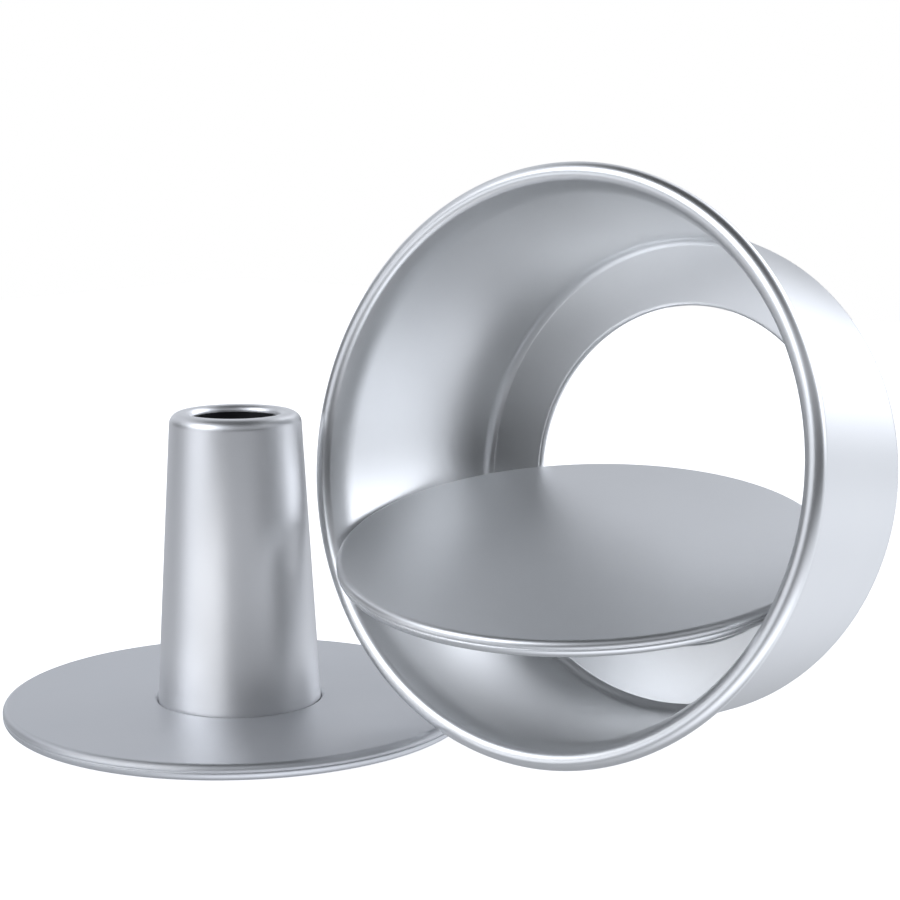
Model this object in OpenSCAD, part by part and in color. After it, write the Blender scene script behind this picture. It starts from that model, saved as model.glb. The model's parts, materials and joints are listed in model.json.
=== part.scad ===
// Tube cake pan set with two loose bottoms, laid out as it is shown for sale.
// The pan ring lies on its side with its mouth to -Y, resting on its rolled rim and its lower corner.
// The flat loose bottom leans inside the ring, and the tube bottom stands beside it on the table.
// Every piece is formed from one sheet, so each section is a strip of sheet bent along a path.

/* [Sheet] */
// Thickness of the aluminium sheet
sheet_t = 1; // [0.8:0.1:1.2]

/* [Loose bottoms] */
// Diameter over the edge of either loose bottom
bottom_d = 145; // [138:0.5:152]
// Height of a loose bottom, from its foot to its top face
bottom_h = 5; // [4.6:0.1:6.5]
// Outside radius of the bend at the top edge
edge_r = 1.8; // [1.4:0.1:2]
// Outside radius of the bend at the foot
foot_r = 2.2; // [1.8:0.1:2.4]
// Width of the flat lip turned in under the foot
foot_lip_w = 2; // [1:0.5:8]
// Radius of the half-round groove pressed round the edge
groove_r = 0.35; // [0.2:0.05:0.45]

/* [Centre tube] */
// Height of the tube above the top face of its plate
tube_h = 89; // [70:1:110]
// Outside diameter where the tube leaves the plate
tube_foot_d = 50.4; // [46:0.2:56]
// Outside diameter of the tube's taper at its top
tube_top_d = 40; // [36:0.5:44]
// Diameter of the opening in the tube's top
tube_mouth_d = 27.2; // [22:0.2:28]
// Outside radius of the shoulder at the tube's top
shoulder_r = 3.5; // [2:0.1:4]
// Radius over which the sheet rolls down into the opening
mouth_roll_r = 2; // [1.4:0.1:2.2]
// Height of the straight wall below that roll
mouth_wall_h = 3; // [2:0.5:8]
// Radius of the bend from the taper into the seam
tube_bend_r = 20; // [10:1:30]

/* [Seam of tube and plate] */
// Depth of the collar drawn down round the plate's hole
collar_h = 2.2; // [2:0.1:2.6]
// Outside radius of the bend into that collar
collar_r = 1.4; // [1.3:0.1:1.6]
// Clearance between the tube and the collar that it is rolled round
seam_gap = 0.1; // [0.05:0.05:0.2]
// Height of the rolled edge beside the collar
seam_edge_h = 0.8; // [0.4:0.1:0.9]

/* [Pan ring] */
// How much wider than a loose bottom the wall is where its taper meets the rim
mouth_spread = 13; // [8:0.5:20]
// Depth from the centre of the rim's bead to the ledge
ring_depth = 71.7; // [55:0.5:90]
// Diameter of the bead rolled out round the rim
bead_d = 6; // [4.6:0.2:8]
// How far the rolled bead goes round
bead_sweep = 290; // [250:5:300]
// How far the lip spreads beyond the wall's taper
lip_flare = 1.5; // [0.8:0.1:2.2]
// Lean of the spreading lip
lip_angle = 24; // [18:1:30]
// Radius of the soft bend from the wall into the lip
lip_bend_r = 22; // [8:0.5:26]
// How far the ledge reaches in under the edge of a seated bottom
ledge_w = 19.9; // [16.5:0.1:27]
// Diameter of the tight roll round the ledge's hole
hole_roll_d = 2.4; // [2:0.1:3.2]
// Inside radius of the corner between wall and ledge
corner_r = 4.5; // [3:0.1:4.7]
// Width of the strip that rises from the ledge to that corner
rise_w = 2.6; // [2.6:0.1:4]
// Slope of that strip
rise_angle = 33; // [30:1:40]
// Inside radius of the crease where the strip leaves the ledge
crease_r = 0.5; // [0.2:0.1:0.8]
// Clearance between a seated bottom's foot and the rising strip
seat_gap = 0.2; // [0.1:0.05:0.5]

/* [Layout] */
// Distance that the rim's centre stands behind the tube's axis
rim_back = 21; // [10:1:40]
// Room between the tube bottom's edge and the rim where it comes down to the table
stand_gap = 1.2; // [0.8:0.1:20]
// Angle between the leaning bottom and the ring's axis
lean_angle = 19; // [15:0.5:24]
// Turn of the leaning bottom round the ring's axis
lean_turn = 3.3; // [-10:0.1:10]
// Room between the leaning bottom and the wall on each side
lean_side_gap = 0.45; // [0.4:0.05:1]
// Room between the leaning bottom and the roll of the ledge's hole
lean_hole_gap = 1.1; // [0.4:0.1:4]

/* [Hidden] */
$fn = 180;
// Sections are drawn in metres and enlarged, so that the ends of neighbouring bends fall together
fine = 1000;
// Two bends with less than this between them join without a straight run
least_run = 0.001;
satin_aluminium = "#b6b9c0";

bottom_r = bottom_d / 2;
bead_r = bead_d / 2;
mouth_r = bottom_r + mouth_spread / 2;
bead_cr = mouth_r + lip_flare + bead_r;
rim_r = bead_cr + bead_r;
hole_roll_r = hole_roll_d / 2;
ledge_hole_r = bottom_r - ledge_w;

// Where the rising strip leaves the ledge: it clears the foot bend of a seated bottom by seat_gap
seat_r = bottom_r - foot_r + (foot_r * (1 - cos(rise_angle)) + seat_gap) / sin(rise_angle);
// The strip's upper end on the wall, and the wall's upper end at the rim
corner_p = [seat_r, 0] + rise_w * [cos(rise_angle), sin(rise_angle)];
wall_p = [mouth_r, ring_depth];
// Where the spreading lip runs into the bead, and where it leaves the wall
lip_dir = [sin(lip_angle), cos(lip_angle)];
lip_p = [bead_cr, ring_depth] + bead_r * [-cos(lip_angle), sin(lip_angle)];
flare_p = crossing(corner_p, wall_p - corner_p, lip_p, lip_dir);

// The ring's inner face, from the ledge's hole to the rim
ring_path = [[ledge_hole_r + hole_roll_r, 0], [seat_r, 0], corner_p, flare_p, lip_p];
// The bend under the lip is no longer than the lip
lip_most_r = norm(lip_p - flare_p) / tan(abs(turn(ring_path, 3)) / 2);
ring_bends = [0, crease_r, corner_r, min(lip_bend_r, lip_most_r), 0];

// A loose bottom's outer face, from its top face to the lip under its foot
edge_path = [[bottom_r, bottom_h], [bottom_r, 0], [bottom_r - foot_r - foot_lip_w, 0]];
edge_bends = [edge_r, foot_r, 0];
groove_z = (bottom_h - edge_r + foot_r) / 2;

// The tube's outer face, from its opening to the edge rolled round the plate's collar
tube_foot_r = tube_foot_d / 2;
collar_bore_r = tube_foot_r + seam_gap;
collar_z = bottom_h - collar_h;
seam_r = seam_gap + sheet_t / 2;
seam_z = collar_z + seam_gap - seam_r;
tube_top_z = bottom_h + tube_h;
tube_mouth_r = tube_mouth_d / 2;
tube_path = [
    [tube_mouth_r, tube_top_z - mouth_roll_r - mouth_wall_h],
    [tube_mouth_r, tube_top_z],
    [tube_top_d / 2, tube_top_z],
    [tube_foot_r, bottom_h],
    [tube_foot_r, seam_z],
    [tube_foot_r + 2 * seam_r, seam_z],
    [tube_foot_r + 2 * seam_r, seam_z + seam_r + seam_edge_h],
];
tube_bends = [0, mouth_roll_r, shoulder_r, tube_bend_r, seam_r, seam_r, 0];

// The lying ring: its bead and the outside of its corner both touch the table
corner_c = bend_centre(ring_path, ring_bends, 2);
touch_run = [bead_cr - corner_c[0], ring_depth - corner_c[1]];
ring_tilt = acos((corner_r + sheet_t - bead_r) / norm(touch_run)) - atan2(touch_run[1], touch_run[0]);
rim_z = bead_cr * cos(ring_tilt) + bead_r;

// The leaning bottom slides in until its foot nears both walls and the roll of the ledge's hole
lean_in = settle(ring_depth / 3, 6);
lean_drop = drop_at(lean_in);

// The tube bottom stands clear of the rim near the table, and its tube clear of the ring's side
rim_low_y = rim_back - bead_cr * sin(ring_tilt);
rim_low_w = sqrt(pow(rim_r, 2) - pow(rim_r - bottom_h / cos(ring_tilt), 2));
plate_room = sqrt(pow(bottom_r + stand_gap, 2) - pow(rim_low_y, 2)) + rim_low_w;
tube_room = sqrt(max(pow(tube_foot_r, 2) - pow(rim_back, 2), 0)) + rim_r;
rim_aside = max(plate_room, tube_room);

// The layout's footprint is centred on the origin
lean_tail = lean_in * cos(ring_tilt) - lean_drop * sin(ring_tilt) + bottom_r * cos(lean_angle - ring_tilt);
ring_tail = touch_run[1] * cos(ring_tilt) + corner_c[0] * sin(ring_tilt) + corner_r + sheet_t;
tube_x = (bottom_r - rim_aside - rim_r) / 2;
tube_y = (bottom_r - rim_back - max(lean_tail, ring_tail)) / 2;

// Wall radius at a distance in from the bead's centre
function wall_r(s) = wall_p[0] + (corner_p[0] - wall_p[0]) * s / (ring_depth - corner_p[1]);
// How far below the ring's axis the leaning bottom's centre lies, with its foot bend near both walls
function drop_at(s) =
    let (reach = wall_r(s) - foot_r - lean_side_gap)
    sqrt(pow(reach, 2) - pow(bottom_r - foot_r, 2)) - (bottom_h - foot_r) * cos(lean_angle);
// How far in the leaning bottom's centre lies, from a first guess, with its foot near the hole's roll
function settle(s, steps) =
    let (below = drop_at(s) - (ring_depth - s) * tan(lean_angle) + bottom_h)
    let (half_chord = sqrt(pow(ledge_hole_r - lean_hole_gap, 2) - pow(below, 2)))
    let (next = ring_depth - cos(lean_angle) * sqrt(pow(bottom_r, 2) - pow(half_chord, 2)))
    steps == 0 ? s : settle(next, steps - 1);

// Where the line from a along u meets the line from b along v
function crossing(a, u, b, v) = a + u * cross(b - a, v) / cross(u, v);
// Direction of a path's run, the turn at one of its points, and the length that a bend takes up there
function heading(path, i) = (path[i + 1] - path[i]) / norm(path[i + 1] - path[i]);
function turn(path, i) =
    let (before = heading(path, i - 1), after = heading(path, i))
    atan2(cross(before, after), before * after);
function trim(path, bends, i) =
    bends[i] == 0 ? 0 : bends[i] * tan(abs(turn(path, i)) / 2);
// Where a bend starts, and the centre that it turns about
function bend_start(path, bends, i) = path[i] - trim(path, bends, i) * heading(path, i - 1);
function bend_centre(path, bends, i) =
    let (h = heading(path, i - 1))
    bend_start(path, bends, i) + sign(turn(path, i)) * bends[i] * [-h[1], h[0]];

// Moves to the end of a bend that starts along X with its face's radius, left turns being positive
module bend_end(r, sweep) {
    centre = [0, sign(sweep) * r];
    translate(centre)
        rotate(sweep)
            translate(-centre)
                children();
}

// A bend of the sheet that starts along X, and what follows at its end
module bend(r, sweep) {
    t = sheet_t / fine;
    inner = sweep > 0 ? r : r - t;
    far = 4 * r + 2 * t;
    intersection() {
        translate([0, sign(sweep) * r])
            difference() {
                circle(r = inner + t);
                circle(r = inner);
            }
        translate([0, -far])
            square([far, 2 * far]);
        bend_end(r, sweep)
            translate([-far, -far])
                square([far, 2 * far]);
    }
    bend_end(r, sweep)
        children();
}

// A path's runs and bends from its point i on, each from where the last one ended
module runs(path, bends, i) {
    t = sheet_t / fine;
    run = norm(path[i + 1] - path[i]) - trim(path, bends, i) - trim(path, bends, i + 1);
    if (run > least_run / fine)
        translate([0, -t])
            square([run, t]);
    translate([run, 0])
        if (i + 2 < len(path))
            bend(bends[i + 1], turn(path, i + 1))
                runs(path, bends, i + 1)
                    children();
        else
            children();
}

// Section of sheet with one face on a path and its thickness to the path's right, and what follows its end
module sheet(path, bends) {
    h = heading(path, 0);
    scale(fine)
        translate(path[0] / fine)
            rotate(atan2(h[1], h[0]))
                runs(path / fine, bends / fine, 0)
                    children();
}

// The tight roll round the ledge's hole, flush with the ledge's upper face
module hole_roll() {
    translate([ledge_hole_r + hole_roll_r, -hole_roll_r])
        difference() {
            circle(r = hole_roll_r);
            translate([0, hole_roll_r - sheet_t])
                square([hole_roll_d, sheet_t]);
        }
}

// The ring's section: the lip runs on into the bead, which rolls outwards and down in two equal bends
module ring_section() {
    sheet(ring_path, ring_bends)
        bend(bead_r / fine, -bead_sweep / 2)
            bend(bead_r / fine, -bead_sweep / 2);
    hole_roll();
}

// A loose bottom's section, from the start of its path to the lip under its foot
module bottom_section(start, start_bends) {
    difference() {
        sheet(concat(start, edge_path), concat(start_bends, edge_bends));
        translate([bottom_r, groove_z])
            circle(r = groove_r);
    }
}

// The flat bottom's section: its top face runs past the axis and is cut there
module flat_section() {
    intersection() {
        bottom_section([[-bottom_h, bottom_h]], [0]);
        translate([0, -bottom_h])
            square([bottom_d, 3 * bottom_h]);
    }
}

// Moves what stands on the ledge of an upright ring to where the lying ring holds it
module in_lying_ring() {
    translate([tube_x + rim_aside, tube_y + rim_back, rim_z])
        rotate([90 - ring_tilt, 0, 0])
            translate([0, 0, -ring_depth])
                children();
}

module pan_ring() {
    color(satin_aluminium)
        in_lying_ring()
            rotate_extrude()
                ring_section();
}

module flat_bottom() {
    color(satin_aluminium)
        in_lying_ring()
            rotate([0, 0, -lean_turn])
                translate([0, -lean_drop, ring_depth - lean_in])
                    rotate([lean_angle - 90, 0, 0])
                        translate([0, 0, -bottom_h])
                            rotate_extrude()
                                flat_section();
}

module tube_plate() {
    color(satin_aluminium)
        translate([tube_x, tube_y, 0])
            rotate_extrude()
                bottom_section(
                    [[collar_bore_r, collar_z], [collar_bore_r, bottom_h]],
                    [0, collar_r]
                );
}

module centre_tube() {
    color(satin_aluminium)
        translate([tube_x, tube_y, 0])
            rotate_extrude()
                sheet(tube_path, tube_bends);
}

pan_ring();
flat_bottom();
tube_plate();
centre_tube();
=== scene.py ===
"""Tube cake pan set in satin aluminium, laid out on a white table.

The pan ring lies on its side, the flat loose bottom leans in it, and the bottom with the
centre tube stands beside it. Every piece is one sheet of metal, so each mesh is a closed
section of bent sheet that is spun about the piece's axis and then put in its place.
Sizes are in millimetres and angles in degrees, unless a docstring says otherwise.
"""
import json
import logging
import math
from collections.abc import Sequence
from dataclasses import dataclass
from enum import Enum
from typing import Any, ClassVar

import bmesh
import bpy
from mathutils import Matrix, Vector


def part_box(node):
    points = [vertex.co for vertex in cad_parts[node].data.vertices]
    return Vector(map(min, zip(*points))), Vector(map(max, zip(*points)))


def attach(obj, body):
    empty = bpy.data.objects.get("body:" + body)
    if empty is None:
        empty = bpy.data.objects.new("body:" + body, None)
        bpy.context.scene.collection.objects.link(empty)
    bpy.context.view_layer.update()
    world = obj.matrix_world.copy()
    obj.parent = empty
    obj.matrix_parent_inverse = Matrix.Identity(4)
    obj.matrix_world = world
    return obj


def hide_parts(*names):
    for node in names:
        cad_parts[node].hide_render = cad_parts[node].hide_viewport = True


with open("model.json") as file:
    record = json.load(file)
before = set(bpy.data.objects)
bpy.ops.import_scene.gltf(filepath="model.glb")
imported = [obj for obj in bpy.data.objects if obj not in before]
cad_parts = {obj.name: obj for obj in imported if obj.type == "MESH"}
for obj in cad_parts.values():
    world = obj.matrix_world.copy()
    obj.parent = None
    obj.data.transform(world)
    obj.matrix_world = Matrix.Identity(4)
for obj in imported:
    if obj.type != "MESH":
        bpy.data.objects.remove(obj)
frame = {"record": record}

LOG = logging.getLogger("tube_pan_set")
MM = 0.001
# Points that are closer than this are one, and a run of sheet that is shorter isn't drawn
JOIN = 1e-4
# Sockets of a Mix node that mixes two colours
MIX_FIRST, MIX_SECOND, MIX_RESULT = 6, 7, 2

Point = tuple[float, float]
Place = tuple[float, float, float]


class Body(Enum):
    """The moving bodies of the set, by the names that the frame gives them."""

    TUBE_BOTTOM = "tube_bottom"
    RING = "ring"
    LEANING_BOTTOM = "leaning_bottom"


class Smoothness(Enum):
    """How finely a round form is drawn, and how sharp an edge has to be to look sharp."""

    BEND_DEGREES = 6.5
    BEND_LEAST_STEPS = 3
    SPIN_STEPS = 240
    SHARP_DEGREES = 50.0


def linear(code: str) -> tuple[float, float, float, float]:
    """Turn an sRGB hex colour into linear light.

    Args:
        code: The colour, such as "#c8ccd2".

    Returns:
        Red, green, blue and an alpha of 1.
    """
    parts = [int(code[i : i + 2], 16) / 255 for i in (1, 3, 5)]
    red, green, blue = (c / 12.92 if c <= 0.04045 else ((c + 0.055) / 1.055) ** 2.4 for c in parts)
    return red, green, blue, 1.0


def add_node(
    tree: bpy.types.NodeTree,
    kind: str,
    settings: dict[str | int, Any],
    links: dict[str | int, bpy.types.NodeSocket],
) -> bpy.types.Node:
    """Add a node to a tree with its settings and what feeds it.

    Args:
        tree: The node tree that it goes into.
        kind: Blender's name for the kind of node.
        settings: Attributes of the node, or values of its inputs by the input's name or number.
        links: The output socket that feeds each input, by the input's name or number.

    Returns:
        The new node.
    """
    node = tree.nodes.new(kind)
    for name, value in settings.items():
        if isinstance(name, int) or name in node.inputs:
            node.inputs[name].default_value = value
        else:
            setattr(node, name, value)
    for name, source in links.items():
        tree.links.new(source, node.inputs[name])
    return node


def empty_tree(owner: bpy.types.Material | bpy.types.World) -> bpy.types.NodeTree:
    """Give a material or a world a node tree with nothing in it.

    Args:
        owner: The material or world.

    Returns:
        Its node tree.
    """
    owner.use_nodes = True
    owner.node_tree.nodes.clear()
    return owner.node_tree


def set_ramp(node: bpy.types.Node, stops: list[Point]) -> None:
    """Give a colour ramp its grey stops.

    Args:
        node: The colour ramp node.
        stops: Place and brightness of each stop, in order.
    """
    ramp = node.color_ramp
    while len(ramp.elements) < len(stops):
        ramp.elements.new(1.0)
    for element, (place, level) in zip(ramp.elements, stops):
        element.position = place
        element.color = (level, level, level, 1.0)


@dataclass(frozen=True)
class Finish:
    """A finish whose tone drifts in soft clouds from one colour to another."""

    name: str
    pale: str
    deep: str
    cloud_mm: float
    cloud_detail: float = 2.0
    cloud_rough: float = 0.5

    def material(self) -> bpy.types.Material:
        """Build the material.

        Returns:
            A procedural material in Object coordinates.
        """
        material = bpy.data.materials.new(self.name)
        tree = empty_tree(material)
        place = add_node(tree, "ShaderNodeTexCoord", {}, {}).outputs["Object"]
        cloud = add_node(
            tree,
            "ShaderNodeTexNoise",
            {
                "Scale": 1 / (self.cloud_mm * MM),
                "Detail": self.cloud_detail,
                "Roughness": self.cloud_rough,
            },
            {"Vector": place},
        )
        tone = add_node(
            tree,
            "ShaderNodeMix",
            {"data_type": "RGBA", MIX_FIRST: linear(self.pale), MIX_SECOND: linear(self.deep)},
            {"Factor": cloud.outputs["Fac"]},
        )
        shader = self.shader(tree, place, tone.outputs[MIX_RESULT])
        add_node(tree, "ShaderNodeOutputMaterial", {}, {"Surface": shader.outputs["BSDF"]})
        return material

    def shader(
        self, tree: bpy.types.NodeTree, place: bpy.types.NodeSocket, tone: bpy.types.NodeSocket
    ) -> bpy.types.Node:
        """Add the shader of this finish.

        Args:
            tree: The material's node tree.
            place: The Object coordinates.
            tone: The clouded colour.

        Returns:
            The shader node.
        """
        raise NotImplementedError


@dataclass(frozen=True)
class SatinAluminium(Finish):
    """Aluminium sheet, drawn and spun to shape, satin etched and clear anodised.

    The etch blurs what the metal mirrors, so near things show in it and far ones are soft
    bands of light. The clear oxide leaves it bright and nearly neutral, with a tone that
    drifts a little over a few centimetres.
    """

    name: str = "satin_anodised_aluminium"
    pale: str = "#eff0f0"
    deep: str = "#ebeced"
    cloud_mm: float = 30.0
    cloud_detail: float = 3.0
    cloud_rough: float = 0.55
    # The etched grain is about 0.1 mm, and is drawn five times as coarse so that it shows
    grain_mm: float = 0.5
    grain_detail: float = 2.0
    grain_rough: float = 0.6
    grain_low: float = 0.3
    grain_high: float = 0.7
    grain_depth_mm: float = 0.005
    grain_strength: float = 0.35
    smooth: float = 0.315
    rough: float = 0.375

    def shader(
        self, tree: bpy.types.NodeTree, place: bpy.types.NodeSocket, tone: bpy.types.NodeSocket
    ) -> bpy.types.Node:
        """Add a metal shader with a fine etched grain in its gloss and its relief.

        Args:
            tree: The material's node tree.
            place: The Object coordinates.
            tone: The clouded colour.

        Returns:
            The shader node.
        """
        grain = add_node(
            tree,
            "ShaderNodeTexNoise",
            {
                "Scale": 1 / (self.grain_mm * MM),
                "Detail": self.grain_detail,
                "Roughness": self.grain_rough,
            },
            {"Vector": place},
        ).outputs["Fac"]
        gloss = add_node(
            tree,
            "ShaderNodeMapRange",
            {
                "From Min": self.grain_low,
                "From Max": self.grain_high,
                "To Min": self.smooth,
                "To Max": self.rough,
            },
            {"Value": grain},
        )
        relief = add_node(
            tree,
            "ShaderNodeBump",
            {"Strength": self.grain_strength, "Distance": self.grain_depth_mm * MM},
            {"Height": grain},
        )
        return add_node(
            tree,
            "ShaderNodeBsdfPrincipled",
            {"Metallic": 1.0},
            {
                "Base Color": tone,
                "Roughness": gloss.outputs["Result"],
                "Normal": relief.outputs["Normal"],
            },
        )


@dataclass(frozen=True)
class BoreShade(Finish):
    """Inside of the tube: painted shade, a dark grey metal on the bore in place of the light that
    hardly gets into it.

    Its tone drifts in clouds about a centimetre wide, and in its own shade it looks nearly black.
    """

    name: str = "bore_painted_shade"
    pale: str = "#4a4b4f"
    deep: str = "#3c3c3d"
    cloud_mm: float = 8.0
    roughness: float = 0.55

    def shader(
        self, tree: bpy.types.NodeTree, place: bpy.types.NodeSocket, tone: bpy.types.NodeSocket
    ) -> bpy.types.Node:
        """Add a dull metal shader.

        Args:
            tree: The material's node tree.
            place: The Object coordinates.
            tone: The clouded colour.

        Returns:
            The shader node.
        """
        return add_node(
            tree,
            "ShaderNodeBsdfPrincipled",
            {"Metallic": 1.0, "Roughness": self.roughness},
            {"Base Color": tone},
        )


@dataclass(frozen=True)
class LitSheet(Finish):
    """White sheet of the studio: matt and lit from behind, so shadows on it are faint."""

    name: str = "white_acrylic_light_table"
    pale: str = "#f7f7f7"
    deep: str = "#f3f3f4"
    cloud_mm: float = 250.0
    roughness: float = 0.9
    gloss: float = 0.1
    glow: float = 0.8

    def shader(
        self, tree: bpy.types.NodeTree, place: bpy.types.NodeSocket, tone: bpy.types.NodeSocket
    ) -> bpy.types.Node:
        """Add a matt shader that glows in its own colour.

        Args:
            tree: The material's node tree.
            place: The Object coordinates.
            tone: The clouded colour.

        Returns:
            The shader node.
        """
        return add_node(
            tree,
            "ShaderNodeBsdfPrincipled",
            {
                "Roughness": self.roughness,
                "Specular IOR Level": self.gloss,
                "Emission Strength": self.glow,
            },
            {"Base Color": tone, "Emission Color": tone},
        )


class SetFinish(Enum):
    """The finishes of the set's pieces and of the studio."""

    # Spun and etched: the brightest sheet, which shows soft pictures of what is near
    RING = SatinAluminium()
    # Pressed flat, with a coarser etch: it mirrors only broad light, and is a little greyer
    FLAT_BOTTOM = SatinAluminium(
        "satin_pressed_aluminium", "#e6e7e8", "#e2e3e4", smooth=0.37, rough=0.43
    )
    # Pressed round the seam and the dullest of the sheets: an even grey
    TUBE_PLATE = SatinAluminium(
        "dull_pressed_aluminium", "#dddee0", "#d8dadd", smooth=0.44, rough=0.5
    )
    # Drawn deep: bright, with long soft stripes of light
    TUBE = SatinAluminium(
        "bright_drawn_aluminium", "#f1f1f2", "#edeeef", smooth=0.39, rough=0.45
    )
    # Painted shade: dark grey metal on the tube's bore, standing for the shade inside it
    TUBE_BORE_SHADE = BoreShade()
    TABLE = LitSheet()
    # Plain paper, which only returns some light
    CARD = LitSheet("white_paper_card", glow=0.32)


@dataclass(frozen=True)
class Step:
    """A straight run of sheet and the bend that follows it.

    The sweep is in radians, and a left turn has a positive one. A groove is pressed into the
    middle of the run.
    """

    run: float
    radius: float = 0.0
    sweep: float = 0.0
    groove: float = 0.0


def turn_at(points: list[Point], i: int) -> float:
    """Give the turn at a point of a path.

    Args:
        points: The path's points.
        i: Number of a point that isn't one of its ends.

    Returns:
        The turn in radians, positive to the left.
    """
    before = Vector(points[i]) - Vector(points[i - 1])
    after = Vector(points[i + 1]) - Vector(points[i])
    return math.atan2(before.cross(after), before.dot(after))


def bent_path(points: list[Point], bends: list[float]) -> list[Step]:
    """Turn a path with a bend radius at each of its points into steps.

    Args:
        points: The path's points.
        bends: The radius of the bend at each point, with 0 at both ends.

    Returns:
        A step for each run of the path.
    """
    turns = [0.0] + [turn_at(points, i) for i in range(1, len(points) - 1)] + [0.0]
    trims = [r * math.tan(abs(a) / 2) for r, a in zip(bends, turns)]
    steps = []
    for i in range(len(points) - 1):
        length = (Vector(points[i + 1]) - Vector(points[i])).length
        steps.append(Step(length - trims[i] - trims[i + 1], bends[i + 1], turns[i + 1]))
    return steps


class SheetPen:
    """Draws the outline of a sheet's section in the XZ plane, one run or bend at a time."""

    # How far from a run's ends its shading is held flat
    HOLD = 0.15
    # Slope of a groove's sides, and how many times its own radius is that of its lips
    GROOVE_SLOPE = math.radians(72)
    GROOVE_TO_LIP = 3

    def __init__(self, start: Point, heading: float) -> None:
        """Put the pen down.

        Args:
            start: Radius and height of the first point.
            heading: Direction of the first run, in radians from +X towards +Z.
        """
        self.bm = bmesh.new()
        self.tip = self.bm.verts.new((start[0], 0.0, start[1]))
        self.heading = heading

    def run(self, length: float) -> None:
        """Draw a straight run, with points near its ends that hold its shading flat.

        Args:
            length: Length of the run.
        """
        hold = min(self.HOLD, length / 4)
        ahead = Vector((math.cos(self.heading), 0.0, math.sin(self.heading)))
        for part in (hold, length - 2 * hold, hold):
            self.tip = bmesh.ops.extrude_vert_indiv(self.bm, verts=[self.tip])["verts"][0]
            bmesh.ops.translate(self.bm, verts=[self.tip], vec=ahead * part)

    def bend(self, radius: float, sweep: float) -> None:
        """Draw a bend.

        Args:
            radius: Radius of the face that is being drawn.
            sweep: How far it turns, in radians, positive to the left.
        """
        side = math.copysign(radius, sweep)
        left = Vector((-math.sin(self.heading), 0.0, math.cos(self.heading)))
        fine = math.ceil(math.degrees(abs(sweep)) / Smoothness.BEND_DEGREES.value)
        grown = bmesh.ops.spin(
            self.bm,
            geom=[self.tip],
            cent=self.tip.co + side * left,
            axis=(0.0, -1.0, 0.0),
            dvec=(0.0, 0.0, 0.0),
            angle=sweep,
            steps=max(Smoothness.BEND_LEAST_STEPS.value, fine),
            use_merge=False,
            use_normal_flip=False,
            use_duplicate=False,
        )
        self.tip = grown["geom_last"][0]
        self.heading += sweep

    def groove(self, run: float, radius: float) -> None:
        """Draw a run with a soft groove pressed into its middle.

        Args:
            run: Length of the whole run.
            radius: Radius of the groove's bottom.
        """
        lip = radius / self.GROOVE_TO_LIP
        slope = self.GROOVE_SLOPE
        beside = run / 2 - (radius + lip) * math.sin(slope)
        self.run(beside)
        for r, sweep in ((lip, -slope), (radius, 2 * slope), (lip, -slope)):
            self.bend(r, sweep)
        self.run(beside)

    def face(self, steps: list[Step]) -> None:
        """Draw the sheet's first face.

        Args:
            steps: The runs and bends, from the start of the path.
        """
        for step in steps:
            if step.groove:
                self.groove(step.run, step.groove)
            elif step.run > JOIN:
                self.run(step.run)
            if step.sweep:
                self.bend(step.radius, step.sweep)

    def back(self, steps: list[Step], thickness: float) -> None:
        """Draw the sheet's other face, on the way back to the start.

        Args:
            steps: The runs and bends that the first face was drawn with.
            thickness: Thickness of the sheet, which lies to the right of its first face.
        """
        for step in reversed(steps):
            if step.sweep:
                self.bend(step.radius + math.copysign(thickness, step.sweep), -step.sweep)
            if step.run > JOIN:
                self.run(step.run)

    def cut(self, thickness: float) -> None:
        """Draw the sheet's cut edge, and turn back.

        Args:
            thickness: Thickness of the sheet.
        """
        self.heading -= math.pi / 2
        self.run(thickness)
        self.heading -= math.pi / 2


def add_object(name: str, bm: bmesh.types.BMesh) -> bpy.types.Object:
    """Turn a bmesh into an object of the scene.

    Args:
        name: Name of the new object.
        bm: The bmesh, which is freed.

    Returns:
        The object, at the origin.
    """
    mesh = bpy.data.meshes.new(name)
    bm.to_mesh(mesh)
    bm.free()
    new = bpy.data.objects.new(name, mesh)
    bpy.context.scene.collection.objects.link(new)
    return new


@dataclass
class SheetSection:
    """Section of a bent sheet, whose thickness lies to the right of its first face.

    It holds the radius and height where that face starts, the direction of its first run in
    radians, and its runs and bends.
    """

    start: Point
    heading: float
    steps: list[Step]
    thickness: float

    def outline(self) -> bmesh.types.BMesh:
        """Draw the closed outline, which ends at the axis where it starts there.

        Returns:
            The outline's points and edges.
        """
        pen = SheetPen(self.start, self.heading)
        pen.face(self.steps)
        pen.cut(self.thickness)
        pen.back(self.steps, self.thickness)
        if self.start[0] > 0:
            pen.cut(self.thickness)
        bmesh.ops.remove_doubles(pen.bm, verts=pen.bm.verts[:], dist=JOIN)
        return pen.bm

    def spin(self, name: str, place: Matrix) -> bpy.types.Object:
        """Spin the section into a piece, and put it in its place.

        Args:
            name: Name of the piece.
            place: Where the piece's own axes lie in the frame.

        Returns:
            The piece, at the origin, with its place in its mesh.
        """
        bm = self.outline()
        bmesh.ops.spin(
            bm,
            geom=bm.verts[:] + bm.edges[:],
            cent=(0.0, 0.0, 0.0),
            axis=(0.0, 0.0, 1.0),
            dvec=(0.0, 0.0, 0.0),
            angle=2 * math.pi,
            steps=Smoothness.SPIN_STEPS.value,
            use_merge=True,
            use_normal_flip=False,
            use_duplicate=False,
        )
        bmesh.ops.remove_doubles(bm, verts=bm.verts[:], dist=JOIN)
        bmesh.ops.recalc_face_normals(bm, faces=bm.faces[:])
        for part in bm.faces:
            part.smooth = True
        bmesh.ops.transform(bm, matrix=Matrix.Scale(MM, 4) @ place, verts=bm.verts[:])
        piece = add_object(name, bm)
        piece.data.set_sharp_from_angle(angle=math.radians(Smoothness.SHARP_DEGREES.value))
        return piece


def turned(degrees: float, axis: str) -> Matrix:
    """Give a turn about one of the main axes."""
    return Matrix.Rotation(math.radians(degrees), 4, axis)


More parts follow.
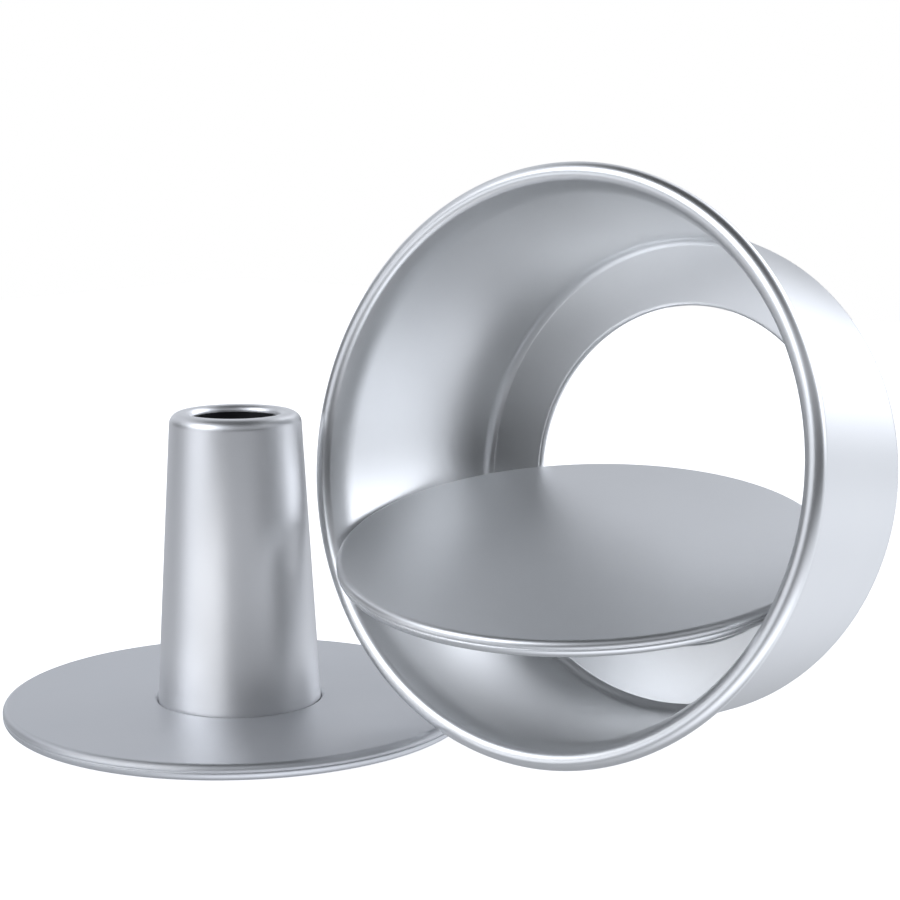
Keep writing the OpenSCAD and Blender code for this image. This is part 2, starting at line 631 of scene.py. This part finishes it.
def dress(
    piece: bpy.types.Object, node: str, body: Body, material: bpy.types.Material
) -> None:
    """Give a piece its finish, and tie it to the frame.

    Args:
        piece: The piece.
        node: The CAD node that it stands for.
        body: The body that it rides on.
        material: Its material.
    """
    piece.data.materials.append(material)
    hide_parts(node)
    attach(piece, body.value)


@dataclass
class LooseBottom:
    """Edge of a loose bottom: rolled over at the top, grooved, and turned in under the foot."""

    sheet: float = 1.0
    width: float = 145.0
    height: float = 5.0
    edge: float = 1.8
    foot: float = 2.2
    lip: float = 2.0
    groove: float = 0.35

    def edge_steps(self, reach: float) -> list[Step]:
        """Give the steps of the top face, the edge and the lip under the foot.

        Args:
            reach: Length of the top face up to its edge bend.

        Returns:
            The steps, from the top face outwards.
        """
        wall = self.height - self.edge - self.foot
        return [
            Step(reach, self.edge, -math.pi / 2),
            Step(wall, self.foot, -math.pi / 2, self.groove),
            Step(self.lip),
        ]


@dataclass
class FlatBottom(LooseBottom):
    """The flat loose bottom, which leans in the lying ring."""

    lean: float = 19.0
    turn: float = 3.3
    drop: float = 22.2882
    inwards: float = 22.4707

    def build(self, ring: "PanRing", material: bpy.types.Material) -> bpy.types.Object:
        """Spin the bottom, lean it in the ring and dress it.

        Args:
            ring: The ring that holds it.
            material: Its finish.

        Returns:
            The finished piece.
        """
        place = (
            ring.place()
            @ turned(-self.turn, "Z")
            @ Matrix.Translation((0.0, -self.drop, ring.depth - self.inwards))
            @ turned(self.lean - 90, "X")
            @ Matrix.Translation((0.0, 0.0, -self.height))
        )
        steps = self.edge_steps(self.width / 2 - self.edge)
        section = SheetSection((0.0, self.height), 0.0, steps, self.sheet)
        piece = section.spin("flat_bottom_sheet", place)
        dress(piece, "flat_bottom", Body.LEANING_BOTTOM, material)
        return piece


@dataclass
class TubeBottom(LooseBottom):
    """The loose bottom with the hollow tapered tube that is rolled into its plate."""

    tube_height: float = 89.0
    tube_foot: float = 50.4
    tube_top: float = 40.0
    mouth: float = 27.2
    shoulder: float = 3.5
    mouth_roll: float = 2.0
    mouth_wall: float = 3.0
    tube_bend: float = 20.0
    collar: float = 2.2
    collar_bend: float = 1.4
    seam: float = 0.1
    seam_edge: float = 0.8
    centre: Point = (0.0, 0.0)
    # A face that looks at the axis by more than this cosine is part of the inside, which gets the
    # painted shade
    INWARDS: ClassVar[float] = 0.5

    def place(self) -> Matrix:
        """Give the place of the tube's axis on the table."""
        return Matrix.Translation((self.centre[0], self.centre[1], 0.0))

    def build_plate(self, material: bpy.types.Material) -> bpy.types.Object:
        """Spin the plate with the collar round its hole, and dress it.

        Args:
            material: Its finish.

        Returns:
            The finished piece.
        """
        bore = self.tube_foot / 2 + self.seam
        reach = self.width / 2 - self.edge - bore - self.collar_bend
        steps = [Step(self.collar - self.collar_bend, self.collar_bend, -math.pi / 2)]
        steps += self.edge_steps(reach)
        start = (bore, self.height - self.collar)
        section = SheetSection(start, math.pi / 2, steps, self.sheet)
        piece = section.spin("tube_plate_sheet", self.place())
        dress(piece, "tube_plate", Body.TUBE_BOTTOM, material)
        return piece

    def build_tube(
        self, material: bpy.types.Material, inside: bpy.types.Material
    ) -> bpy.types.Object:
        """Spin the tube from its rolled mouth to the edge under the plate, and dress it.

        Args:
            material: Its finish.
            inside: The dark grey that paints shade on its inner face.

        Returns:
            The finished piece.
        """
        top = self.height + self.tube_height
        foot = self.tube_foot / 2
        curl = self.seam + self.sheet / 2
        low = self.height - self.collar + self.seam - curl
        path = [
            (self.mouth / 2, top - self.mouth_roll - self.mouth_wall),
            (self.mouth / 2, top),
            (self.tube_top / 2, top),
            (foot, self.height),
            (foot, low),
            (foot + 2 * curl, low),
            (foot + 2 * curl, low + curl + self.seam_edge),
        ]
        bends = [0.0, self.mouth_roll, self.shoulder, self.tube_bend, curl, curl, 0.0]
        section = SheetSection(path[0], math.pi / 2, bent_path(path, bends), self.sheet)
        piece = section.spin("centre_tube_sheet", self.place())
        dress(piece, "centre_tube", Body.TUBE_BOTTOM, material)
        self.paint_bore_shade(piece, inside)
        return piece

    def paint_bore_shade(self, tube: bpy.types.Object, inside: bpy.types.Material) -> None:
        """Paint shade on the tube's inner face, below the roll of the mouth, with its own dark grey
        finish.

        Args:
            tube: The tube.
            inside: The dark grey of the painted shade.
        """
        tube.data.materials.append(inside)
        axis = self.place().translation
        roll = self.height + self.tube_height - self.mouth_roll
        for part in tube.data.polygons:
            out = part.center / MM - axis
            if out.z < roll and part.normal.xy.dot(out.xy) < -self.INWARDS * out.xy.length:
                part.material_index = 1


@dataclass
class PanRing:
    """The tapered ring with its rolled rim and the ledge that holds a loose bottom."""

    sheet: float = 1.0
    depth: float = 71.7
    mouth: float = 158.0
    bead: float = 6.0
    bead_sweep: float = 290.0
    lip_flare: float = 1.5
    lip_angle: float = 24.0
    lip_bend: float = 22.0
    ledge_hole: float = 105.2
    hole_roll: float = 2.4
    hole_sweep: float = 258.0
    corner: float = 4.5
    rise: float = 2.6
    rise_angle: float = 33.0
    crease: float = 0.5
    seat: float = 71.319
    tilt: float = 9.8649
    centre: Point = (0.0, 0.0)

    def bead_at(self) -> float:
        """Give the radius of the middle of the bead."""
        return self.mouth / 2 + self.lip_flare + self.bead / 2

    def reach(self) -> float:
        """Give how far the bead's lowest part stands out before the middle of the mouth."""
        return self.bead_at() * math.sin(math.radians(self.tilt)) + self.bead / 2

    def place(self) -> Matrix:
        """Give the place of the lying ring's own axes, from the middle of its ledge.

        Returns:
            The place, with the mouth's middle over the ring's centre on the table.
        """
        height = self.bead_at() * math.cos(math.radians(self.tilt)) + self.bead / 2
        return (
            Matrix.Translation((self.centre[0], self.centre[1], height))
            @ turned(90 - self.tilt, "X")
            @ Matrix.Translation((0.0, 0.0, -self.depth))
        )

    def path(self) -> list[Point]:
        """Give the inner face's path.

        Returns:
            Its points, from the ledge's hole to the start of the bead.
        """
        slope = math.radians(self.rise_angle)
        lean = math.radians(self.lip_angle)
        seat = Vector((self.seat, 0.0))
        corner = seat + self.rise * Vector((math.cos(slope), math.sin(slope)))
        rim = Vector((self.mouth / 2, self.depth))
        bead = Vector((self.bead_at(), self.depth))
        lip = bead + self.bead / 2 * Vector((-math.cos(lean), math.sin(lean)))
        wall = rim - corner
        spread = Vector((math.sin(lean), math.cos(lean)))
        flare = corner + wall * ((lip - corner).cross(spread) / wall.cross(spread))
        hole = (self.ledge_hole / 2 + self.hole_roll / 2, 0.0)
        return [hole, (self.seat, 0.0), tuple(corner), tuple(flare), tuple(lip)]

    def build(self, material: bpy.types.Material) -> bpy.types.Object:
        """Spin the ring, lay it on its side and dress it.

        Args:
            material: Its finish.

        Returns:
            The finished piece.
        """
        path = self.path()
        roll = self.hole_roll / 2
        sweep = math.radians(self.hole_sweep)
        bends = [0.0, self.crease, self.corner, self.lip_bend, 0.0]
        steps = [Step(0.0, roll, -sweep)] + bent_path(path, bends)
        steps.append(Step(0.0, self.bead / 2, -math.radians(self.bead_sweep)))
        start = (path[0][0] - roll * math.sin(sweep), -roll + roll * math.cos(sweep))
        section = SheetSection(start, sweep, steps, self.sheet)
        piece = section.spin("pan_ring_sheet", self.place())
        dress(piece, "pan_ring", Body.RING, material)
        return piece


@dataclass(frozen=True)
class Panel:
    """A soft-edged panel of light, or a dark flag, on the wall of the studio.

    Its azimuth counts to the right of the camera, seen from the set.
    """

    level: float
    azimuth: float
    half_width: float
    elevation: float
    half_height: float
    # Where its light starts and stops fading, as a share of its half width or height
    FADE: ClassVar[Point] = (0.5, 1.5)

    def fade(
        self, tree: bpy.types.NodeTree, angle: bpy.types.NodeSocket, middle: float, half: float
    ) -> bpy.types.NodeSocket:
        """Add the nodes that fade the panel's light along one angle.

        Args:
            tree: The world's node tree.
            angle: The direction's angle, in radians.
            middle: The angle of the panel's middle.
            half: Half of the angle that the panel takes up.

        Returns:
            The socket that holds 1 in the middle and 0 outside.
        """
        math_node = "ShaderNodeMath"
        off = add_node(
            tree, math_node, {"operation": "SUBTRACT", 1: math.radians(middle)}, {0: angle}
        )
        near = add_node(
            tree, math_node, {"operation": "WRAP", 1: math.pi, 2: -math.pi}, {0: off.outputs[0]}
        )
        away = add_node(tree, math_node, {"operation": "ABSOLUTE"}, {0: near.outputs[0]})
        fade = add_node(
            tree,
            "ShaderNodeMapRange",
            {
                "interpolation_type": "SMOOTHSTEP",
                "From Min": math.radians(half * self.FADE[0]),
                "From Max": math.radians(half * self.FADE[1]),
                "To Min": 1.0,
                "To Max": 0.0,
            },
            {"Value": away.outputs[0]},
        )
        return fade.outputs[0]

    def light(
        self,
        tree: bpy.types.NodeTree,
        azimuth: bpy.types.NodeSocket,
        elevation: bpy.types.NodeSocket,
    ) -> bpy.types.NodeSocket:
        """Add the nodes that give the panel's light in a direction.

        Args:
            tree: The world's node tree.
            azimuth: The direction's azimuth, in radians.
            elevation: The direction's elevation, in radians.

        Returns:
            The socket that holds the light.
        """
        across = self.fade(tree, azimuth, self.azimuth, self.half_width)
        upwards = self.fade(tree, elevation, self.elevation, self.half_height)
        shape = add_node(tree, "ShaderNodeMath", {"operation": "MULTIPLY"}, {0: across, 1: upwards})
        lit = add_node(
            tree, "ShaderNodeMath", {"operation": "MULTIPLY", 1: self.level}, {0: shape.outputs[0]}
        )
        return lit.outputs[0]


@dataclass
class Studio:
    """White table, soft studio light, and the camera at the photograph's place."""

    camera_place: Place = (385.17, -491.61, 186.74)
    camera_heading: float = 37.39
    camera_pitch: float = 9.22
    camera_near: float = 10.0
    lens: float = 85.39
    sensor: float = 36.0
    table_size: Point = (2400.0, 2400.0)
    # The table lies a hair lower than the foot of the set, so that no faces meet
    table_drop: float = 0.2
    card_size: Point = (84.0, 65.0)
    card_place: Place = (-50.0, -128.0, 33.5)
    daylight: str = "#f1f5fd"
    backdrop: str = "#ffffff"
    # Light of the room by elevation: the floor, dark walls, and a band of ceiling light
    room: tuple[Point, ...] = (
        (-70.0, 0.4),
        (-40.0, 0.5),
        (-20.0, 0.37),
        (-8.0, 0.62),
        (2.0, 0.04),
        (12.0, 0.04),
        (24.0, 0.41),
        (40.0, 0.96),
        (60.0, 0.04),
    )
    # A black flag round the camera, and a grey one above it
    flags: tuple[Panel, ...] = (
        Panel(1.0, 17.0, 83.4, -5.0, 25.1),
        Panel(0.45, 28.0, 42.0, 46.0, 17.0),
    )
    # White floor to the right and in front, a softbox to the left, a window to the right, a
    # white wall behind, a low board to the left, and a high board behind on the right
    panels: tuple[Panel, ...] = (
        Panel(0.78, 60.0, 80.0, -26.0, 20.3),
        Panel(0.85, 15.0, 50.0, -48.0, 18.0),
        Panel(2.82, -58.2, 24.0, 33.4, 17.0),
        Panel(2.3, 110.2, 31.0, 23.8, 21.0),
        Panel(0.82, 199.7, 28.0, 9.0, 12.0),
        Panel(1.24, -61.0, 22.0, -7.8, 11.0),
        Panel(0.66, 148.0, 20.0, 31.0, 14.0),
    )

    def build_camera(self) -> None:
        """Make the camera, and set it as the scene's."""
        data = bpy.data.cameras.new("camera")
        data.sensor_width = self.sensor
        data.lens = self.lens
        data.clip_start = self.camera_near * MM
        camera = bpy.data.objects.new("camera", data)
        camera.matrix_world = (
            Matrix.Translation(Vector(self.camera_place) * MM)
            @ turned(self.camera_heading, "Z")
            @ turned(90 - self.camera_pitch, "X")
        )
        bpy.context.scene.collection.objects.link(camera)
        bpy.context.scene.camera = camera

    def add_sheet(
        self, name: str, size: Point, place: Matrix, material: bpy.types.Material
    ) -> bpy.types.Object:
        """Add a flat sheet that isn't part of the object and casts no shadow.

        Args:
            name: Its name.
            size: Its width and length.
            place: Where its middle lies, and how it is turned.
            material: Its finish.

        Returns:
            The sheet.
        """
        bm = bmesh.new()
        bmesh.ops.create_grid(bm, x_segments=1, y_segments=1, size=0.5)
        bmesh.ops.scale(bm, vec=(size[0], size[1], 1.0), verts=bm.verts[:])
        bmesh.ops.transform(bm, matrix=Matrix.Scale(MM, 4) @ place, verts=bm.verts[:])
        sheet = add_object(name, bm)
        sheet.data.materials.append(material)
        sheet.visible_shadow = False
        return sheet

    def build_table(self, material: bpy.types.Material) -> None:
        """Make the table top, which the metal doesn't mirror.

        Args:
            material: Its finish.
        """
        place = Matrix.Translation((0.0, 0.0, -self.table_drop))
        table = self.add_sheet("table", self.table_size, place, material)
        table.visible_glossy = False

    def build_card(self, material: bpy.types.Material) -> None:
        """Stand a white card before the tube, which only the metal mirrors.

        Args:
            material: Its finish.
        """
        place = Matrix.Translation(self.card_place) @ turned(90, "X")
        card = self.add_sheet("card", self.card_size, place, material)
        card.visible_camera = False
        card.visible_diffuse = False

    def direction(
        self, tree: bpy.types.NodeTree
    ) -> tuple[bpy.types.NodeSocket, bpy.types.NodeSocket]:
        """Add the nodes that give a direction's angles, counted from the camera's heading.

        Args:
            tree: The world's node tree.

        Returns:
            The sockets of its azimuth and its elevation, in radians.
        """
        look = add_node(tree, "ShaderNodeTexCoord", {}, {})
        turn = add_node(
            tree,
            "ShaderNodeMapping",
            {"vector_type": "TEXTURE", "Rotation": (0.0, 0.0, math.radians(self.camera_heading))},
            {"Vector": look.outputs["Generated"]},
        )
        parts = add_node(tree, "ShaderNodeSeparateXYZ", {}, {"Vector": turn.outputs["Vector"]})
        ahead = add_node(
            tree, "ShaderNodeMath", {"operation": "MULTIPLY", 1: -1.0}, {0: parts.outputs["Y"]}
        )
        azimuth = add_node(
            tree,
            "ShaderNodeMath",
            {"operation": "ARCTAN2"},
            {0: parts.outputs["X"], 1: ahead.outputs[0]},
        )
        elevation = add_node(
            tree, "ShaderNodeMath", {"operation": "ARCSINE"}, {0: parts.outputs["Z"]}
        )
        return azimuth.outputs[0], elevation.outputs[0]

    def brightness(self, tree: bpy.types.NodeTree) -> bpy.types.NodeSocket:
        """Add the nodes that give the studio's brightness: the room, its flags and its panels.

        Args:
            tree: The world's node tree.

        Returns:
            The socket that holds the brightness.
        """
        azimuth, elevation = self.direction(tree)
        share = add_node(
            tree,
            "ShaderNodeMapRange",
            {"From Min": -math.pi / 2, "From Max": math.pi / 2},
            {"Value": elevation},
        )
        total = add_node(tree, "ShaderNodeValToRGB", {}, {"Fac": share.outputs["Result"]})
        set_ramp(total, [(place / 180 + 0.5, level) for place, level in self.room])
        for flag in self.flags:
            dark = flag.light(tree, azimuth, elevation)
            clear = add_node(tree, "ShaderNodeMath", {"operation": "SUBTRACT", 0: 1.0}, {1: dark})
            total = add_node(
                tree,
                "ShaderNodeMath",
                {"operation": "MULTIPLY"},
                {0: total.outputs[0], 1: clear.outputs[0]},
            )
        for panel in self.panels:
            glow = panel.light(tree, azimuth, elevation)
            total = add_node(
                tree, "ShaderNodeMath", {"operation": "ADD"}, {0: total.outputs[0], 1: glow}
            )
        return total.outputs[0]

    def build_light(self) -> None:
        """Make the studio round the set, which the camera sees as plain white."""
        world = bpy.data.worlds.new("studio")
        bpy.context.scene.world = world
        tree = empty_tree(world)
        around = add_node(
            tree,
            "ShaderNodeBackground",
            {"Color": linear(self.daylight)},
            {"Strength": self.brightness(tree)},
        )
        plain = add_node(tree, "ShaderNodeBackground", {"Color": linear(self.backdrop)}, {})
        path = add_node(tree, "ShaderNodeLightPath", {}, {})
        mixed = add_node(
            tree,
            "ShaderNodeMixShader",
            {},
            {0: path.outputs["Is Camera Ray"], 1: around.outputs[0], 2: plain.outputs[0]},
        )
        add_node(tree, "ShaderNodeOutputWorld", {}, {"Surface": mixed.outputs[0]})
        settings = bpy.context.scene.view_settings
        settings.view_transform = "Standard"
        settings.look = "None"


def main() -> None:
    """Build the set and the studio, and report each piece."""
    logging.basicConfig(level=logging.INFO, format="%(name)s: %(message)s")
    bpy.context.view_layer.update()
    mounts = {m["name"]: m["pos_m"] for m in frame["record"]["mounts"]}
    tube_at = mounts["tube_mouth"]
    low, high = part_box("pan_ring")
    ring = PanRing()
    ring.centre = ((low.x + high.x) / 2 / MM, low.y / MM + ring.reach())
    tube_bottom = TubeBottom(centre=(tube_at[0] / MM, tube_at[1] / MM))
    finish = {kind: kind.value.material() for kind in SetFinish}
    pieces = [
        ring.build(finish[SetFinish.RING]),
        FlatBottom().build(ring, finish[SetFinish.FLAT_BOTTOM]),
        tube_bottom.build_plate(finish[SetFinish.TUBE_PLATE]),
        tube_bottom.build_tube(finish[SetFinish.TUBE], finish[SetFinish.TUBE_BORE_SHADE]),
    ]
    for piece in pieces:
        LOG.info("%s: %d faces", piece.name, len(piece.data.polygons))
    studio = Studio()
    studio.build_table(finish[SetFinish.TABLE])
    studio.build_card(finish[SetFinish.CARD])
    studio.build_light()
    studio.build_camera()


if __name__ == "__main__":
    main()
